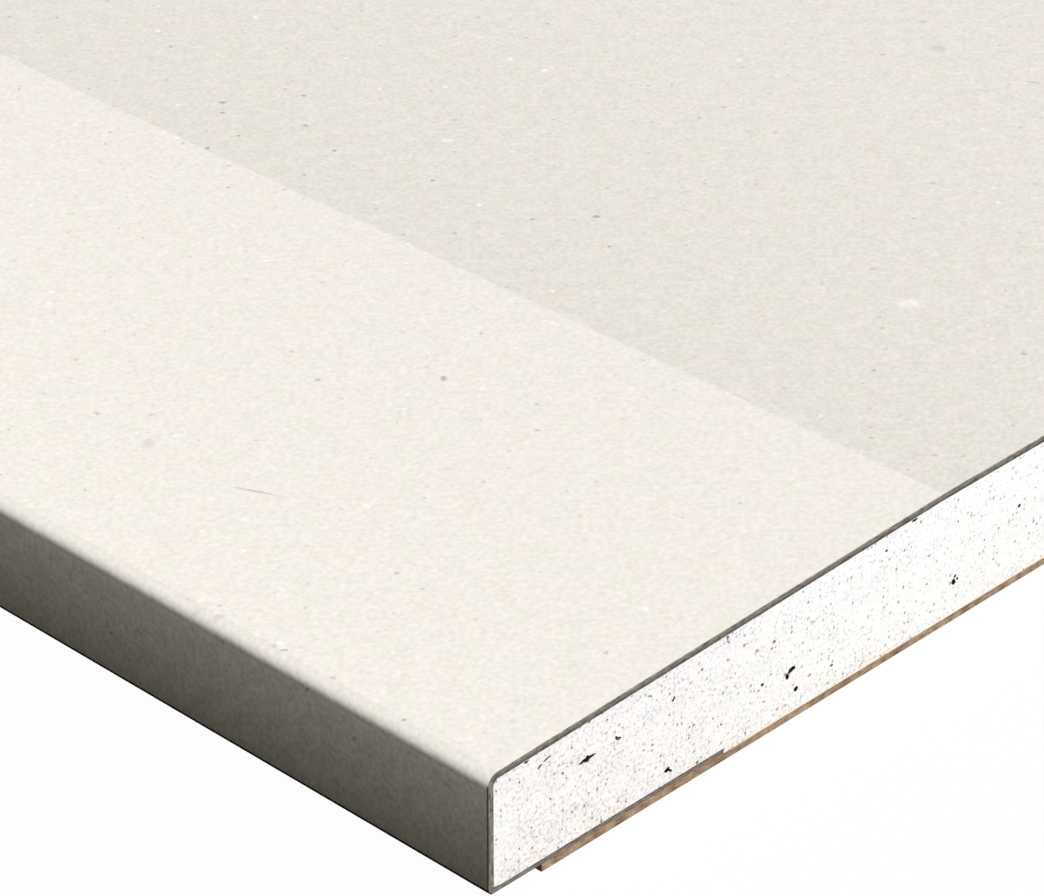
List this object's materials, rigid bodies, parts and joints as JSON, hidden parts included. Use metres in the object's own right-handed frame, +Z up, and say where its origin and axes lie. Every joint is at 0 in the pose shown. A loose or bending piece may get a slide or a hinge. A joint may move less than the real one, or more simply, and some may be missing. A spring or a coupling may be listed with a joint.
{
  "type": "drywall sheet",
  "caption": "Flat gypsum board: a white core between ivory face paper and brown back paper, with tapered, paper-wrapped long edges and square-cut ends, for lining walls and ceilings.",
  "frame": {"origin": "centre of the sheet, on the underside of its back paper", "axes": "+Z up, out of the ivory face; +Y along the sheet, parallel to its tapered edges; +X across it"},
  "size_m": [1.2, 2.4, 0.0125],
  "materials": {
    "face_paper": "matte",
    "gypsum_core": "matte",
    "back_paper": "matte"
  },
  "bodies": {
    "root": {"face_paper": "face_paper", "gypsum_core": "gypsum_core", "back_paper": "back_paper"}
  },
  "joints": []
}
